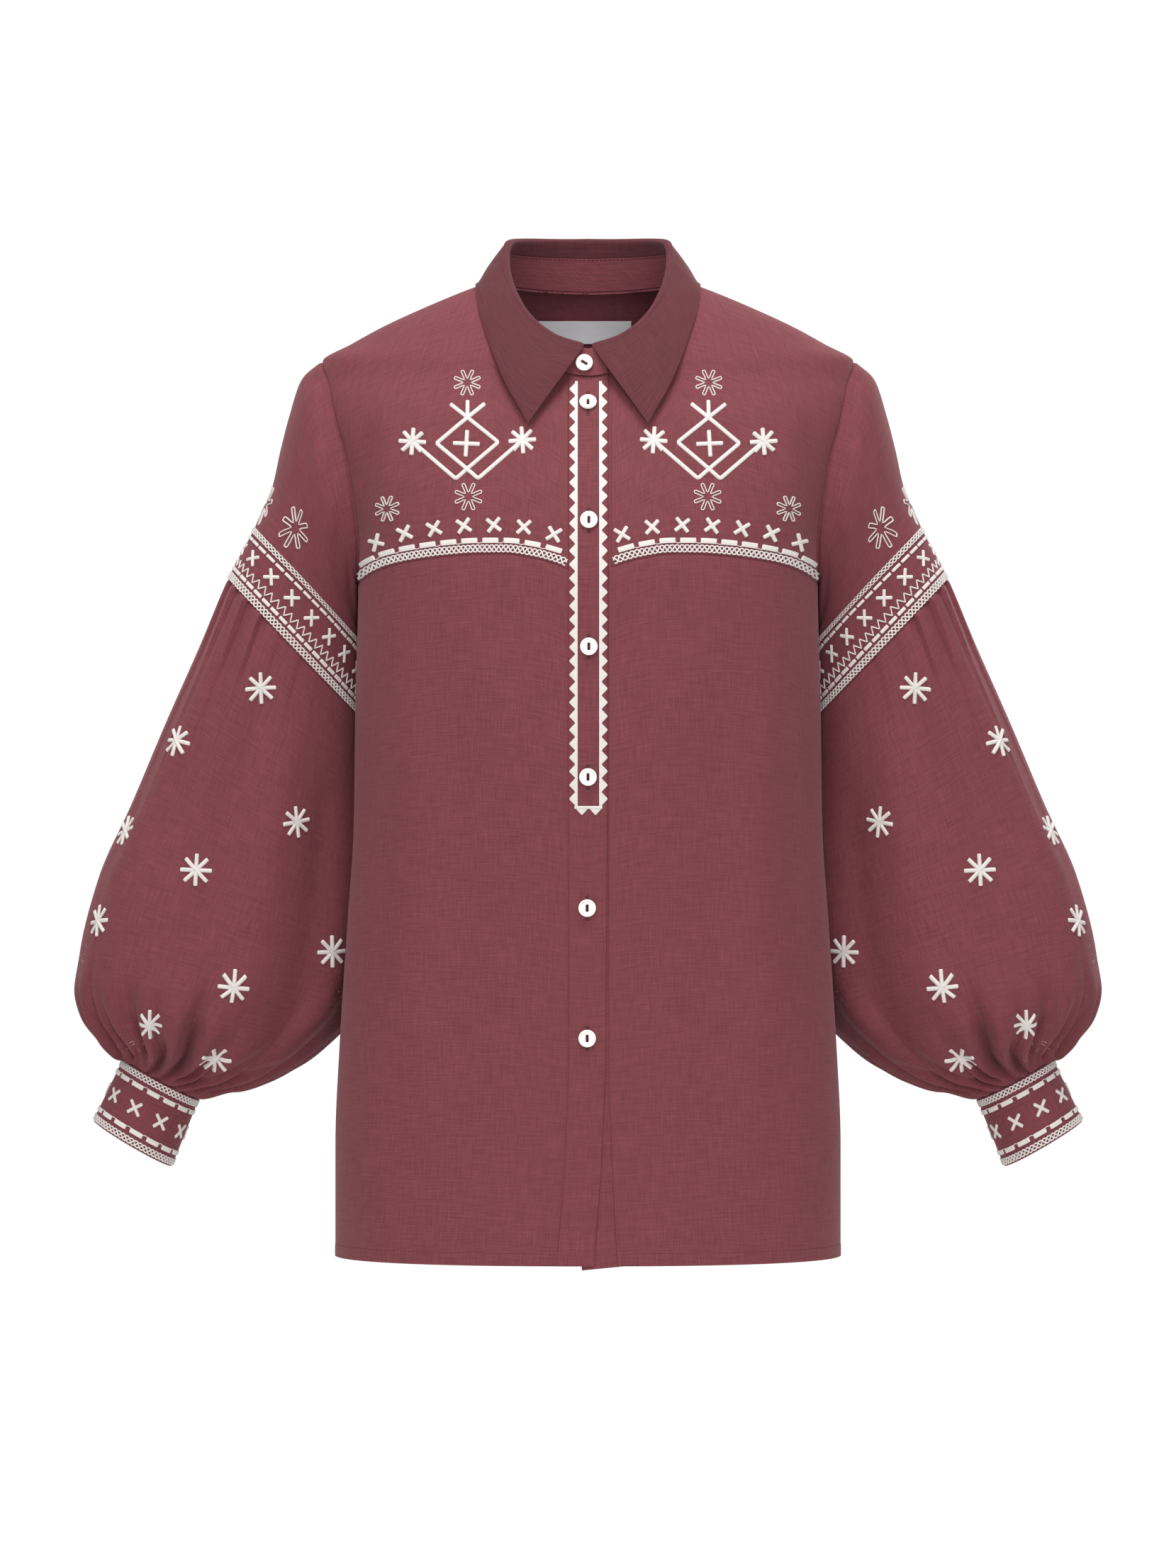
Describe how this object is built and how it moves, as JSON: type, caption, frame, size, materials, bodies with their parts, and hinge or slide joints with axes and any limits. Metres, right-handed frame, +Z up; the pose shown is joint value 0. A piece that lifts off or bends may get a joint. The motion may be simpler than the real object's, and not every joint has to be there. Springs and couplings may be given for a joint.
{
  "type": "embroidered shirt",
  "caption": "Embroidered folk shirt with full gathered sleeves, a pointed collar and a button placket, filled out and hollow.",
  "frame": {"origin": "middle of the neck base, level with the seam at the back of the neck, where a wearer's neck and shoulders carry the shirt", "axes": "+Z up, the front faces -Y, +X towards the wearer's left"},
  "size_m": [0.7604, 0.2557, 0.7595],
  "materials": {
    "linen": "plain-woven dusty burgundy linen, matte",
    "thread": "off-white embroidery thread with a soft sheen",
    "button": "off-white, polished",
    "label": "pale silver grey satin ribbon, bare"
  },
  "bodies": {
    "root": {"back": "linen", "yoke_right": "linen", "yoke_left": "linen", "front_right": "linen", "front_left": "linen", "placket_over": "linen", "placket_under": "linen", "sleeve_upper_right": "linen", "sleeve_upper_left": "linen", "sleeve_lower_right": "linen", "sleeve_lower_left": "linen", "cuff_right": "linen", "cuff_left": "linen", "collar_stand": "linen", "collar_leaf": "linen", "label": "label", "button_1": "button", "button_2": "button", "button_3": "button", "button_4": "button", "button_5": "button", "button_6": "button", "button_7": "button", "button_cuff_right": "button", "button_cuff_left": "button"}
  },
  "joints": []
}
